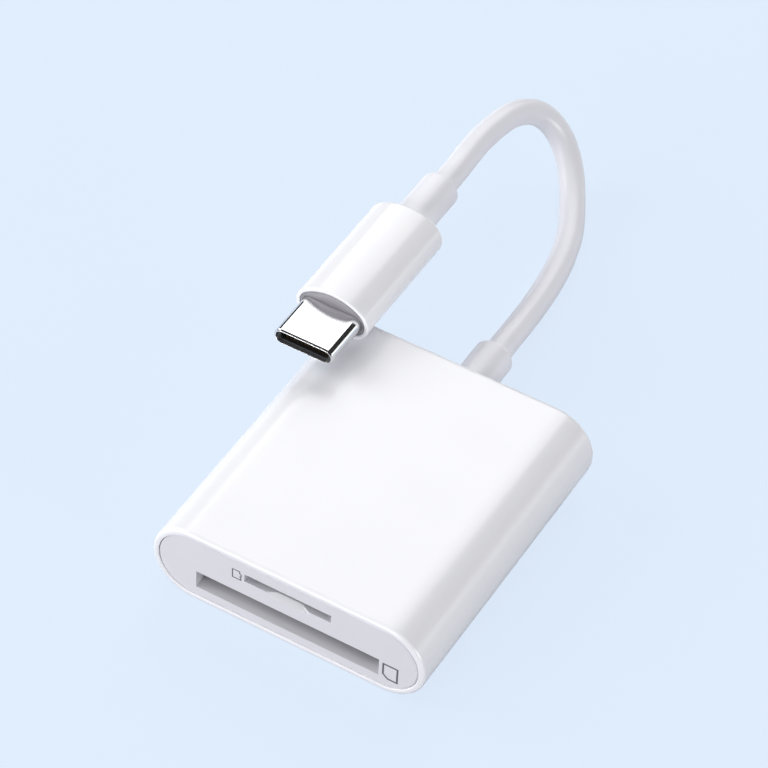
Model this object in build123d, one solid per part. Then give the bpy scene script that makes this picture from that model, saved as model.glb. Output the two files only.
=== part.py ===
from build123d import *
import math
import os

# A card reader: a moulded sleeve with two card slots, and a short cable that ends in a small plug.
# Millimetres. X runs across the slots, Y from the slots to the cable, and Z is up.
# The origin is at the middle of the housing's underside.

# Housing sleeve
body_width = 36.6
body_height = 11.1
body_length = 40.8
wall = 1.3
rear_wall = 1.6
rim = 0.85
rim_outer_round = 0.5
rim_chamfer = 0.15
rear_edge_round = 1.0

# Front bezel
bezel_thickness = 1.6
bezel_recess = 0.12
bezel_gap = 0.07
bezel_chamfer = 0.1
slot_side_margin = 0.15
wide_slot_over = 0.07
small_slot_over = 0.02
small_slot_under = 0.18
lip_drop = 0.32
sill_depth = 1.2
sill_thickness = 0.9
scoop_width = 5.8
scoop_flank = 1.3
scoop_depth = 0.65
scoop_drop = 0.45

# Snap arms of the bezel
arm_length = 5.0
arm_thickness = 0.7
arm_width = 1.0
arm_space = 0.3
arm_clearance = 0.12
hook_length = 1.2
hook_height = 0.5

# Main board, and the rails and ribs of the sleeve that carry it
board_thickness = 1.0
board_rise = 0.55
board_corner = 1.0
board_clearance = 0.1
rail_web = 1.4
rail_lip = 0.8
groove_depth = 0.9
rib_width = 0.8
rib_spacing = 9.0
cable_room = 5.6
socket_gap = 0.15

# Socket for the wide card
wide_card_width = 24.0
wide_channel_height = 2.3
wide_length = 25.5
wide_base = 0.7
wide_back_wall = 2.0
wide_sheet = 0.25
wide_contact_count = 9
wide_contact_pitch = 2.5
wide_contact_width = 0.9
wide_spring_length = 6.5
wide_spring_reach = 0.7

# Socket for the small card
small_card_width = 11.0
small_channel_height = 1.0
small_length = 14.5
small_base = 0.85
small_back_wall = 1.6
small_sheet = 0.2
small_contact_count = 8
small_contact_pitch = 1.1
small_contact_width = 0.55
small_spring_length = 4.0
small_spring_reach = 0.35

# What both sockets share
card_clearance = 0.15
side_wall = 1.0
sheet_clearance = 0.03
spring_sheet = 0.15
spring_tip = 1.0
spring_seat = 0.6
tail_length = 1.0
contact_clearance = 0.1
peg_diameter = 1.0
peg_height = 0.8
peg_inset = 3.0
peg_clearance = 0.05
window_width = 2.6
window_length = 5.0
detect_setback = 6.0
lock_setback = 9.0
switch_length = 5.0
switch_pocket = 0.6
switch_bow = 0.3

# Parts on the board
chip_side = 5.0
chip_height = 0.85
chip_space = 1.2
dimple_diameter = 0.6
dimple_depth = 0.1
dimple_inset = 0.8
passive_length = 1.0
passive_width = 0.5
passive_height = 0.5
passive_pitch = 1.6
capacitor_count = 6
resistor_count = 4
row_space = 1.5

# Cable, its wires and the two strain reliefs
cable_diameter = 3.4
relief_diameter = 5.1
relief_length = 8.0
relief_round = 0.45
relief_clearance = 0.05
flange_diameter = 7.0
flange_thickness = 1.2
jacket_stub = 1.5
wire_diameter = 0.7
wire_offset = 0.45
cable_start = 3.7
cable_finish = 3.8
bend_share = 0.45
pad_pitch = 1.6
pad_inset = 1.2
wire_rise = 0.7

# Plug, with its axis along Y
plug_x = -16.3
plug_z = 14.2
plug_front = 16.1
barrel_width = 10.1
barrel_height = 6.9
barrel_end_radius = 2.7
barrel_length = 18.4
barrel_wall = 0.8
barrel_rear_wall = 1.2
barrel_rear_round = 0.7
nose_lip = 0.5
nose_lip_chamfer = 0.15
nose_recess = 0.12
nose_thickness = 1.2
nose_gap = 0.05
shell_width = 8.25
shell_height = 2.4
shell_wall = 0.28
shell_reach = 6.6
shell_inside = 5.9
mouth_chamfer = 0.15
shell_fit = 0.03
insulator_setback = 0.35
cavity_width = 6.7
cavity_depth = 5.4
cavity_corner = 0.3
pin_count = 12
pin_pitch = 0.5
pin_width = 0.24
pin_sheet = 0.12
pin_setback = 0.6
pin_tail = 0.8
latch_sheet = 0.16
latch_width = 0.3
latch_hook = 0.1
latch_hook_length = 0.4
latch_setback = 1.5
latch_root = 1.2
paddle_width = 7.0
paddle_thickness = 0.7
paddle_length = 6.0
paddle_groove = 0.3
mould_gap = 0.05
mould_window = 2.3
mould_shoulder = 0.4
mould_front_space = 1.1
plug_flange_width = 7.0
plug_flange_height = 4.9
plug_flange_thickness = 1.0
plug_wire_spread = 2.4
solder_length = 1.5

# Levels and faces that several pieces share
mid_z = body_height / 2
round_x = body_width / 2 - mid_z
inner_radius = mid_z - wall
front_y = -body_length / 2
rear_y = body_length / 2
rear_inner_y = rear_y - rear_wall
bezel_front_y = front_y + bezel_recess
bezel_back_y = bezel_front_y + bezel_thickness
socket_front_y = bezel_back_y + socket_gap
sill_end_y = bezel_back_y + sill_depth
board_bottom = mid_z + board_rise - board_thickness / 2
board_top = board_bottom + board_thickness
board_rear_y = rear_inner_y - cable_room
board_half = round_x + math.sqrt(inner_radius**2 - board_rise**2) - rail_web
rail_bottom = board_bottom - board_clearance - rail_lip
rail_top = board_top + board_clearance + rail_lip
wide_top = board_bottom - wide_base
wide_bottom = wide_top - wide_channel_height
wide_half = wide_card_width / 2 + card_clearance
wide_rear_y = socket_front_y + wide_length
small_bottom = board_top + small_base
small_top = small_bottom + small_channel_height
small_half = small_card_width / 2 + card_clearance
small_rear_y = socket_front_y + small_length
chip_y = small_rear_y + tail_length + chip_space + chip_side / 2
flange_y = rear_inner_y - flange_thickness
relief_end_y = rear_y + relief_length
nose_y = plug_front + nose_recess
nose_back_y = nose_y + nose_thickness
mouth_y = plug_front - shell_reach
shell_rear_y = nose_y + shell_inside
insulator_front_y = mouth_y + insulator_setback
insulator_rear_y = shell_rear_y + paddle_groove
cavity_end_y = insulator_front_y + cavity_depth
cavity_height = paddle_thickness + 2 * pin_sheet
paddle_rear_y = shell_rear_y + paddle_length
plug_rear = plug_front + barrel_length
plug_inner_rear = plug_rear - barrel_rear_wall
plug_flange_y = plug_inner_rear - plug_flange_thickness
plug_relief_end = plug_rear + relief_length


def prism(outline, x, y, z, depth):
    """An outline drawn in the X-Z plane about (x, z), carried back along Y from y."""
    plane = Plane(origin=(x, y, z), x_dir=(1, 0, 0), z_dir=(0, -1, 0))
    return extrude(plane * outline, amount=depth, dir=(0, 1, 0))


def block(x0, x1, y0, y1, z0, z1):
    """A box between two corners."""
    middle = Pos((x0 + x1) / 2, (y0 + y1) / 2, (z0 + z1) / 2)
    return middle * Box(x1 - x0, y1 - y0, z1 - z0)


def both_sides(piece):
    """A piece and its mirror image across the middle plane of the housing."""
    return piece + mirror(piece, about=Plane.YZ)


def bent_strip(points, sheet, x, width):
    """A strip of sheet bent along points (y, z) and centred on x."""
    plane = Plane(origin=(x - width / 2, 0, 0), x_dir=(0, 1, 0), z_dir=(1, 0, 0))
    return extrude(plane * trace(Polyline(*points), sheet), amount=width)


def bent_leaf(points, sheet, z0, z1):
    """An upright strip of sheet bent along points (x, y), from z0 up to z1."""
    return Pos(0, 0, z0) * extrude(trace(Polyline(*points), sheet), amount=z1 - z0)


def spaced(count, pitch):
    """Places of a row of equal pieces about zero."""
    return [(i - (count - 1) / 2) * pitch for i in range(count)]


def edges_at(piece, y):
    """The edges of a piece that lie wholly in the plane at y."""
    return piece.edges().filter_by_position(Axis.Y, y, y)


def group(pieces):
    """Separate solids kept together in one node."""
    return Compound(children=[solid for piece in pieces for solid in piece.solids()])


# Snap arms lie just above and just below the board's rails.
arm_levels = [
    (rail_bottom - arm_space - arm_width, rail_bottom - arm_space),
    (rail_top + arm_space, rail_top + arm_space + arm_width),
]


def arm_face(low, high):
    """How far out an arm's outer face can lie, clear of the sleeve's round inner wall."""
    far = max(abs(low - mid_z), abs(high - mid_z))
    return round_x + math.sqrt(inner_radius**2 - far**2) - arm_clearance


def snap_arm(low, high):
    """One arm with its hook, on the side of +X."""
    face = arm_face(low, high)
    end_y = bezel_back_y + arm_length
    arm = block(face - arm_thickness, face, bezel_back_y, end_y, low, high)
    plane = Plane.XY.offset(low)
    hook = Polyline(
        (face, end_y - hook_length), (face + hook_height, end_y - hook_length), (face, end_y), close=True
    )
    return arm + extrude(plane * make_face(hook), amount=high - low)


def hook_pocket(low, high):
    """The blind pocket in the sleeve that a hook snaps into."""
    face = arm_face(low, high)
    end_y = bezel_back_y + arm_length
    return block(
        face,
        face + hook_height + arm_clearance,
        end_y - hook_length - arm_clearance,
        end_y + arm_clearance,
        low - arm_clearance,
        high + arm_clearance,
    )


def housing_sleeve():
    """A tube of stadium section, closed at the rear: a seat for the bezel and rails for the board."""
    sleeve = prism(SlotOverall(body_width, body_height), 0, front_y, mid_z, body_length)
    sleeve = fillet(edges_at(sleeve, rear_y), rear_edge_round)
    sleeve = fillet(edges_at(sleeve, front_y), rim_outer_round)
    seat = SlotOverall(body_width - 2 * rim, body_height - 2 * rim)
    sleeve -= prism(seat, 0, front_y, mid_z, bezel_back_y - front_y)
    rim_face = sleeve.faces().sort_by(Axis.Y)[0]
    sleeve = chamfer(rim_face.inner_wires()[0].edges(), rim_chamfer)
    cavity = prism(
        SlotOverall(body_width - 2 * wall, body_height - 2 * wall),
        0,
        bezel_back_y,
        mid_z,
        rear_inner_y - bezel_back_y,
    )
    rail_x = board_half - groove_depth
    rail = block(rail_x, body_width / 2, bezel_back_y, rear_inner_y, rail_bottom, rail_top)
    rail -= block(
        0,
        board_half + board_clearance,
        bezel_back_y,
        board_rear_y + board_clearance,
        board_bottom - board_clearance,
        board_top + board_clearance,
    )
    socket_x = wide_half + side_wall + sheet_clearance + wide_sheet + board_clearance
    socket_end = wide_rear_y + board_clearance
    rail -= block(0, socket_x, bezel_back_y, socket_end, rail_bottom, board_bottom)
    rib_top = wide_bottom - wide_sheet - board_clearance
    for x in (0, rib_spacing, -rib_spacing):
        sides = (x - rib_width / 2, x + rib_width / 2)
        cavity -= block(*sides, sill_end_y + board_clearance, wide_rear_y, 0, rib_top)
    sleeve -= cavity - both_sides(rail)
    for low, high in arm_levels:
        sleeve -= both_sides(hook_pocket(low, high))
    hole = Circle(relief_diameter / 2 + relief_clearance)
    return sleeve - prism(hole, 0, rear_inner_y, mid_z, rear_wall)


def slot_ramp(half, lip, depth, drop):
    """A wedge below a slot's lower lip, deepest at the bezel's front."""
    front = bezel_front_y
    ramp = Polyline((front, lip - drop), (front + depth, lip), (front, lip), close=True)
    across = Plane(origin=(-half, 0, 0), x_dir=(0, 1, 0), z_dir=(1, 0, 0))
    return extrude(across * make_face(ramp), amount=2 * half)


def thumb_scoop():
    """The cut in the small slot's lower lip: a ramp between two slanting flanks."""
    lip = small_bottom - small_slot_under
    half = scoop_width / 2
    plan = Polyline(
        (-half, bezel_front_y),
        (half, bezel_front_y),
        (half - scoop_flank, bezel_front_y + scoop_depth),
        (scoop_flank - half, bezel_front_y + scoop_depth),
        close=True,
    )
    upright = Pos(0, 0, lip - scoop_drop) * extrude(make_face(plan), amount=scoop_drop)
    return upright & slot_ramp(half, lip, scoop_depth, scoop_drop)


def front_bezel():
    """The front plate with both card slots, a sill for the wide card, and arms that snap into the sleeve."""
    inset = rim + bezel_gap
    outline = SlotOverall(body_width - 2 * inset, body_height - 2 * inset)
    plate = prism(outline, 0, bezel_front_y, mid_z, bezel_thickness)
    plate = chamfer(edges_at(plate, bezel_front_y), bezel_chamfer)
    half = wide_half + slot_side_margin
    plate -= block(-half, half, bezel_front_y, bezel_back_y, wide_bottom, wide_top + wide_slot_over)
    sill_low = wide_bottom - sill_thickness
    plate += block(-wide_half, wide_half, bezel_back_y, sill_end_y, sill_low, wide_bottom)
    plate -= slot_ramp(half, wide_bottom, bezel_thickness + sill_depth, lip_drop)
    half = small_half + slot_side_margin
    low = small_bottom - small_slot_under
    plate -= block(-half, half, bezel_front_y, bezel_back_y, low, small_top + small_slot_over)
    plate -= thumb_scoop()
    for level in arm_levels:
        plate += both_sides(snap_arm(*level))
    return plate


wide_peg = (wide_half - peg_inset, wide_rear_y - wide_back_wall - wide_spring_length - peg_inset)
small_peg = (small_half - peg_inset / 2, socket_front_y + peg_inset)


def main_board():
    """The board, with rounded corners and holes for the pegs of both sockets."""
    length = board_rear_y - socket_front_y
    outline = RectangleRounded(2 * board_half, length, board_corner)
    board = Pos(0, socket_front_y + length / 2, board_bottom) * extrude(outline, amount=board_thickness)
    for x, y in (wide_peg, small_peg):
        hole = Pos(x, y, board_bottom + board_thickness / 2)
        board -= both_sides(hole * Cylinder(peg_diameter / 2 + peg_clearance, board_thickness))
    return board


# The two card switches stand in pockets at the channel's sides, at different depths.
switch_places = [
    (-wide_half, socket_front_y + detect_setback),
    (wide_half, socket_front_y + lock_setback),
]


def contact_slots(count, pitch, width, front, back, low, high):
    """A row of slots through a socket's plate, one for each contact."""
    half = width / 2 + contact_clearance
    slots = [block(x - half, x + half, front, back, low, high) for x in spaced(count, pitch)]
    return group(slots)


def wide_socket_base():
    """The plate under the board that carries the wide card's contacts."""
    half = wide_half + side_wall
    base = block(-half, half, socket_front_y, wide_rear_y, wide_top, board_bottom)
    back = wide_rear_y - wide_back_wall
    front = back - wide_spring_length - spring_tip - contact_clearance
    row = (wide_contact_count, wide_contact_pitch, wide_contact_width)
    base -= contact_slots(*row, front, back, wide_top, board_bottom)
    groove = board_bottom - spring_sheet - contact_clearance
    base -= contact_slots(*row, back, wide_rear_y, groove, board_bottom)
    for place in switch_places:
        base -= switch_room(*place)
    peg = Pos(*wide_peg, board_bottom + peg_height / 2) * Cylinder(peg_diameter / 2, peg_height)
    return base + both_sides(peg)


def wide_socket_frame():
    """The frame round the wide card: two side walls, with room for the switches, and a back wall."""
    half = wide_half + side_wall
    frame = block(-half, half, socket_front_y, wide_rear_y, wide_bottom, wide_top)
    back = wide_rear_y - wide_back_wall
    frame -= block(-wide_half, wide_half, socket_front_y, back, wide_bottom, wide_top)
    for place in switch_places:
        frame -= switch_room(*place)
    return frame


def switch_room(x, y0):
    """The space that a switch leaf needs in the frame's side wall and in the plate."""
    y1 = y0 + switch_length + contact_clearance
    low = wide_bottom + wide_base
    return block(x - switch_pocket, x + switch_pocket, y0 - contact_clearance, y1, low, board_bottom)


def wide_switch_contacts():
    """Two bowed leaves that the card's edge presses: card present, and write lock."""
    leaves = []
    for x, y0 in switch_places:
        side = math.copysign(1, x)
        foot = x + side * (switch_pocket - spring_sheet)
        middle = (foot - side * switch_bow, y0 + switch_length / 2)
        bow = [(foot, y0), middle, (foot, y0 + switch_length)]
        low = wide_bottom + wide_base + contact_clearance
        leaves.append(bent_leaf(bow, spring_sheet, low, board_bottom))
    return group(leaves)


def wide_contacts():
    """Springs soldered under the board, each reaching down into the card's channel."""
    root = wide_rear_y - wide_back_wall
    level = board_bottom - spring_sheet / 2
    tip = root - wide_spring_length
    reach = wide_top - wide_spring_reach
    line = [
        (wide_rear_y + tail_length, level),
        (root - spring_seat, level),
        (tip, reach),
        (tip - spring_tip, reach + spring_tip / 2),
    ]
    places = spaced(wide_contact_count, wide_contact_pitch)
    return group([bent_strip(line, spring_sheet, x, wide_contact_width) for x in places])


def socket_cover(half, rear, outer, sheet, seat):
    """A folded sheet: a flat face with its outside at outer, and sides that reach the board at seat."""
    side = half + side_wall + sheet_clearance
    up = math.copysign(1, seat - outer)
    levels = sorted((outer, seat))
    inside = sorted((outer + up * sheet, seat))
    cover = block(-side - sheet, side + sheet, socket_front_y, rear, *levels)
    long_edges = cover.edges().filter_by(Axis.Y).group_by(Axis.Z)
    cover = fillet(long_edges[0] if up > 0 else long_edges[-1], sheet)
    cover -= block(-side, side, socket_front_y, rear, *inside)
    window_y = (socket_front_y + rear) / 2
    window_z = sorted((outer, outer + up * sheet))
    window = block(
        half / 2 - window_width / 2,
        half / 2 + window_width / 2,
        window_y - window_length / 2,
        window_y + window_length / 2,
        *window_z,
    )
    return cover - both_sides(window)


def wide_socket_cover():
    """The sheet under the wide card, folded up on both sides to the board and cut back for the sill."""
    outer = wide_bottom - wide_sheet
    cover = socket_cover(wide_half, wide_rear_y, outer, wide_sheet, board_bottom)
    half = wide_half + sheet_clearance
    return cover - block(-half, half, socket_front_y, sill_end_y + board_clearance, outer, wide_bottom)


def small_socket_base():
    """The plate on the board that carries the small card's contacts."""
    half = small_half + side_wall
    base = block(-half, half, socket_front_y, small_rear_y, board_top, small_bottom)
    back = small_rear_y - small_back_wall
    front = back - small_spring_length - spring_tip - contact_clearance
    row = (small_contact_count, small_contact_pitch, small_contact_width)
    base -= contact_slots(*row, front, back, board_top, small_bottom)
    groove = board_top + spring_sheet + contact_clearance
    base -= contact_slots(*row, back, small_rear_y, board_top, groove)
    peg = Pos(*small_peg, board_top - peg_height / 2) * Cylinder(peg_diameter / 2, peg_height)
    return base + both_sides(peg)


def small_socket_frame():
    """The frame round the small card: two side walls and a back wall."""
    half = small_half + side_wall
    frame = block(-half, half, socket_front_y, small_rear_y, small_bottom, small_top)
    back = small_rear_y - small_back_wall
    return frame - block(-small_half, small_half, socket_front_y, back, small_bottom, small_top)


def small_contacts():
    """Springs soldered on the board, each reaching up into the small card's channel."""
    root = small_rear_y - small_back_wall
    level = board_top + spring_sheet / 2
    tip = root - small_spring_length
    reach = small_bottom + small_spring_reach
    line = [
        (small_rear_y + tail_length, level),
        (root - spring_seat, level),
        (tip, reach),
        (tip - spring_tip, reach - spring_tip / 2),
    ]
    places = spaced(small_contact_count, small_contact_pitch)
    return group([bent_strip(line, spring_sheet, x, small_contact_width) for x in places])


def small_socket_cover():
    """The sheet over the small card, folded down on both sides to the board."""
    outer = small_top + small_sheet
    return socket_cover(small_half, small_rear_y, outer, small_sheet, board_top)


def controller_chip():
    """The flat chip that reads both sockets, with a dimple at its first corner."""
    half = chip_side / 2
    top = board_top + chip_height
    chip = block(-half, half, chip_y - half, chip_y + half, board_top, top)
    dimple = Pos(dimple_inset - half, chip_y + half - dimple_inset, top - dimple_depth / 2)
    return chip - dimple * Cylinder(dimple_diameter / 2, dimple_depth)


def passive_row(count, row):
    """A row of small two-ended parts behind the chip."""
    y = chip_y + chip_side / 2 + row * row_space
    return group(
        [
            block(
                x - passive_width / 2,
                x + passive_width / 2,
                y - passive_length / 2,
                y + passive_length / 2,
                board_top,
                board_top + passive_height,
            )
            for x in spaced(count, passive_pitch)
        ]
    )


def strain_relief(x, y, z, end, flange):
    """A round sleeve moulded on the cable, from y back to its rounded end, with a flange before y."""
    relief = prism(Circle(relief_diameter / 2), x, y, z, end - y)
    return fillet(edges_at(relief, end), relief_round) + flange


def body_strain_relief():
    """The relief that the housing's rear wall holds by its flange."""
    flange = prism(Circle(flange_diameter / 2), 0, flange_y, mid_z, flange_thickness)
    return strain_relief(0, rear_inner_y, mid_z, relief_end_y, flange)


def cable_inner_end():
    """The end of the cable's jacket inside the housing."""
    return prism(Circle(cable_diameter / 2), 0, flange_y - jacket_stub, mid_z, jacket_stub)


def board_wire(column, row, pad):
    """One wire from the jacket's end, up over the board's edge to its pad."""
    start_y = flange_y - jacket_stub
    top = board_top + wire_diameter / 2
    x0 = column * wire_offset
    z0 = mid_z + row * wire_offset
    x1 = pad * pad_pitch
    line = Polyline(
        (x0, start_y, z0),
        (x0, start_y - wire_rise, z0),
        (x1, board_rear_y + wire_rise, top),
        (x1, board_rear_y - pad_inset, top),
    )
    section = Plane(origin=line @ 0, z_dir=line % 0) * Circle(wire_diameter / 2)
    return sweep(section, path=line, transition=Transition.RIGHT)


# The cable leaves the housing, sinks to the table, turns back and rises to the plug.
cable_route = [
    (0, relief_end_y, mid_z),
    (0, relief_end_y + cable_start, mid_z),
    (-0.5, 37.6, 4.4),
    (-1.2, 43.5, 3.3),
    (-2.3, 49.7, 2.3),
    (-4.0, 55.7, 1.7),
    (-6.6, 61.1, 1.7),
    (-9.3, 65.4, 3.3),
    (-12.1, 67.1, 6.6),
    (-14.8, 66.1, 9.8),
    (-16.5, 62.4, 11.8),
    (-17.0, 57.2, 12.8),
    (-17.0, 51.8, 13.4),
    (plug_x, plug_relief_end + cable_finish, plug_z),
    (plug_x, plug_relief_end, plug_z),
]


def cable():
    """A round tube on the route, with each bend as large as its two runs allow."""
    points = [Vector(*p) for p in cable_route]
    runs = [b - a for a, b in zip(points, points[1:])]
    radii = []
    for a, b in zip(runs, runs[1:]):
        half_turn = math.radians(a.get_angle(b)) / 2
        radii.append(bend_share * min(a.length, b.length) / math.tan(half_turn))
    line = FilletPolyline(*points, radius=radii)
    tube = sweep(Plane(origin=line @ 0, z_dir=line % 0) * Circle(cable_diameter / 2), path=line)
    section = math.pi / 4 * cable_diameter**2
    print("cable bends", [round(r, 1) for r in radii])
    print("cable length", round(line.length, 2))
    print("cable volume", round(tube.volume, 2), "of", round(section * line.length, 2))
    return tube


def barrel_outline(inset):
    """The barrel's section, drawn in from its outside: an oval of two end arcs and two flatter ones."""
    end_x = barrel_width / 2 - barrel_end_radius
    rise = barrel_height / 2 - barrel_end_radius
    drop = (end_x**2 - rise**2) / (2 * rise)
    spread = math.hypot(end_x, drop)
    radius = barrel_end_radius - inset
    x = end_x + radius * end_x / spread
    z = radius * drop / spread
    side = barrel_width / 2 - inset
    top = barrel_height / 2 - inset
    line = ThreePointArc((-x, z), (0, top), (x, z))
    line += ThreePointArc((x, z), (side, 0), (x, -z))
    line += ThreePointArc((x, -z), (0, -top), (-x, -z))
    line += ThreePointArc((-x, -z), (-side, 0), (-x, z))
    return make_face(line)


def shell_outline(inset):
    """The plug shell's stadium section, drawn in from its outside."""
    return SlotOverall(shell_width - 2 * inset, shell_height - 2 * inset)


def plug_prism(outline, y0, y1):
    """An outline about the plug's axis, carried from y0 to y1."""
    return prism(outline, plug_x, y0, plug_z, y1 - y0)


def plug_block(x0, x1, y0, y1, z0, z1):
    """A box given about the plug's axis."""
    return Pos(plug_x, 0, plug_z) * block(x0, x1, y0, y1, z0, z1)


def plug_barrel():
    """An oval cup with a rounded rear, a seat for the nose and a hole for the cable."""
    barrel = plug_prism(barrel_outline(0), plug_front, plug_rear)
    barrel = fillet(edges_at(barrel, plug_rear), barrel_rear_round)
    barrel = chamfer(edges_at(barrel, plug_front), nose_lip_chamfer)
    barrel -= plug_prism(barrel_outline(nose_lip), plug_front, nose_back_y)
    barrel -= plug_prism(barrel_outline(barrel_wall), nose_back_y, plug_inner_rear)
    hole = Circle(relief_diameter / 2 + relief_clearance)
    return barrel - plug_prism(hole, plug_inner_rear, plug_rear)


def plug_nose_insert():
    """The plate in the barrel's mouth that the shell comes through."""
    nose = plug_prism(barrel_outline(nose_lip + nose_gap), nose_y, nose_back_y)
    return nose - plug_prism(shell_outline(-shell_fit), nose_y, nose_back_y)


def plug_shell():
    """The drawn steel shell, with the edge of its mouth broken."""
    shell = plug_prism(shell_outline(0), mouth_y, shell_rear_y)
    shell = chamfer(edges_at(shell, mouth_y), mouth_chamfer)
    return shell - plug_prism(shell_outline(shell_wall), mouth_y, shell_rear_y)


def pin(x, side, margin):
    """One flat contact above (side 1) or below (side -1) the paddle board, with a margin in X."""
    levels = sorted((side * paddle_thickness / 2, side * cavity_height / 2))
    half = pin_width / 2 + margin
    front = insulator_front_y + pin_setback
    return plug_block(x - half, x + half, front, insulator_rear_y + pin_tail, *levels)


def plug_contacts(side):
    """One row of the plug's contacts."""
    return group([pin(x, side, 0) for x in spaced(pin_count, pin_pitch)])


def latch_outline(margin):
    """The latch sheet: two arms along the cavity's sides, joined by a strip in the insulator's back."""
    outer = cavity_width / 2 - sheet_clearance + margin
    inner = outer - latch_width - 2 * margin
    half = latch_sheet / 2 + margin
    front = insulator_front_y + latch_setback - margin
    root = cavity_end_y + latch_root + margin
    arm = plug_block(inner, outer, front, root, -half, half)
    arm += plug_block(inner - latch_hook, inner, front, front + latch_hook_length, -half, half)
    other = plug_block(-outer, -inner, front, root, -half, half)
    other += plug_block(-inner, latch_hook - inner, front, front + latch_hook_length, -half, half)
    return arm + other + plug_block(-outer, outer, cavity_end_y, root, -half, half)


def plug_insulator():
    """The insulator that fills the shell: a cavity for the mating tongue and a groove for the board."""
    body = plug_prism(shell_outline(shell_wall + shell_fit), insulator_front_y, insulator_rear_y)
    body -= plug_prism(
        RectangleRounded(cavity_width, cavity_height, cavity_corner), insulator_front_y, cavity_end_y
    )
    for side in (1, -1):
        for x in spaced(pin_count, pin_pitch):
            body -= pin(x, side, shell_fit)
    body -= latch_outline(shell_fit)
    half = paddle_width / 2 + shell_fit
    level = paddle_thickness / 2
    return body - plug_block(-half, half, shell_rear_y, insulator_rear_y, -level, level)


def plug_paddle_board():
    """The small board that joins the contacts to the wires."""
    half = paddle_width / 2
    level = paddle_thickness / 2
    return plug_block(-half, half, shell_rear_y, paddle_rear_y, -level, level)


def plug_resistor():
    """The small part on the paddle board that tells the host which way round the plug is."""
    y = (insulator_rear_y + pin_tail + paddle_rear_y - solder_length) / 2
    low = paddle_thickness / 2
    return plug_block(
        -passive_width / 2,
        passive_width / 2,
        y - passive_length / 2,
        y + passive_length / 2,
        low,
        low + passive_height,
    )


def plug_wires():
    """Four straight wires from the strain relief to both faces of the paddle board."""
    level = paddle_thickness / 2 + wire_diameter / 2
    depth = plug_flange_y - (paddle_rear_y - solder_length)
    places = [(x, z) for x in (-plug_wire_spread / 2, plug_wire_spread / 2) for z in (level, -level)]
    return group(
        [
            prism(Circle(wire_diameter / 2), plug_x + x, plug_flange_y - depth, plug_z + z, depth)
            for x, z in places
        ]
    )


def plug_inner_mould():
    """The moulded sleeve in the barrel that grips the paddle board by its edges."""
    front = insulator_rear_y + mould_front_space
    mould = plug_prism(barrel_outline(barrel_wall + mould_gap), front, plug_flange_y)
    window = Rectangle(paddle_width - 2 * mould_shoulder, mould_window)
    mould -= plug_prism(window, front, plug_flange_y)
    half = paddle_width / 2 + shell_fit
    level = paddle_thickness / 2 + shell_fit
    return mould - plug_block(-half, half, front, paddle_rear_y + shell_fit, -level, level)


def plug_strain_relief():
    """The relief that the barrel's rear wall holds by its flange."""
    outline = Ellipse(plug_flange_width / 2, plug_flange_height / 2)
    flange = plug_prism(outline, plug_flange_y, plug_inner_rear)
    return strain_relief(plug_x, plug_inner_rear, plug_z, plug_relief_end, flange)


nodes = {
    "housing_sleeve": housing_sleeve(),
    "front_bezel": front_bezel(),
    "main_board": main_board(),
    "wide_socket_base": wide_socket_base(),
    "wide_socket_frame": wide_socket_frame(),
    "wide_socket_cover": wide_socket_cover(),
    "wide_contacts": wide_contacts(),
    "wide_switch_contacts": wide_switch_contacts(),
    "small_socket_base": small_socket_base(),
    "small_socket_frame": small_socket_frame(),
    "small_socket_cover": small_socket_cover(),
    "small_contacts": small_contacts(),
    "controller_chip": controller_chip(),
    "chip_capacitors": passive_row(capacitor_count, 1),
    "chip_resistors": passive_row(resistor_count, 2),
    "body_strain_relief": body_strain_relief(),
    "cable_inner_end": cable_inner_end(),
    "power_wire": board_wire(-1, -1, -1.5),
    "data_minus_wire": board_wire(-1, 1, -0.5),
    "data_plus_wire": board_wire(1, 1, 0.5),
    "ground_wire": board_wire(1, -1, 1.5),
    "cable": cable(),
    "plug_strain_relief": plug_strain_relief(),
    "plug_barrel": plug_barrel(),
    "plug_nose_insert": plug_nose_insert(),
    "plug_shell": plug_shell(),
    "plug_insulator": plug_insulator(),
    "plug_upper_contacts": plug_contacts(1),
    "plug_lower_contacts": plug_contacts(-1),
    "plug_latch_plate": latch_outline(0),
    "plug_paddle_board": plug_paddle_board(),
    "plug_resistor": plug_resistor(),
    "plug_wires": plug_wires(),
    "plug_inner_mould": plug_inner_mould(),
}

os.makedirs("parts", exist_ok=True)
for name, piece in nodes.items():
    export_step(piece, f"parts/{name}.step")
print(len(nodes), "nodes")
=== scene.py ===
# %% [markdown]
# # A small card reader, dressed for its photograph
# The reader is a flat white housing with two card slots in a grey front plate, and a short white
# cable that ends in a small steel plug. Its solids are already modelled and packed. This lesson
# loads them as a fixed frame, rebuilds the outer pieces as smooth surfaces with soft edges, lays
# the cable as one flowing curve, and then gives every piece the finish of its real material.

import math

import bpy
import numpy as np
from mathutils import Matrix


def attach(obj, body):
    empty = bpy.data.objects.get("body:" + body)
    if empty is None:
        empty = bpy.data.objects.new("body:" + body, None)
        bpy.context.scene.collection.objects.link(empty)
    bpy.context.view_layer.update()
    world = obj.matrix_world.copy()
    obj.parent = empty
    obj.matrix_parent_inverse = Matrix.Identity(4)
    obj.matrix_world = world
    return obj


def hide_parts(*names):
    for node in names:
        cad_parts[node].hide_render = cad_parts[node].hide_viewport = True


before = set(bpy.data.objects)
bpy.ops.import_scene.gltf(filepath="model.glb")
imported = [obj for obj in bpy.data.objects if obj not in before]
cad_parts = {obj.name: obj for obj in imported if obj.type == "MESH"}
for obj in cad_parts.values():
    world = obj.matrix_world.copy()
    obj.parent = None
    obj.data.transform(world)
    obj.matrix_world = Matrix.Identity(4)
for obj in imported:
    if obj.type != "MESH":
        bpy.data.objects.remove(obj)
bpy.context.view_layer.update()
MM = 0.001

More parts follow.
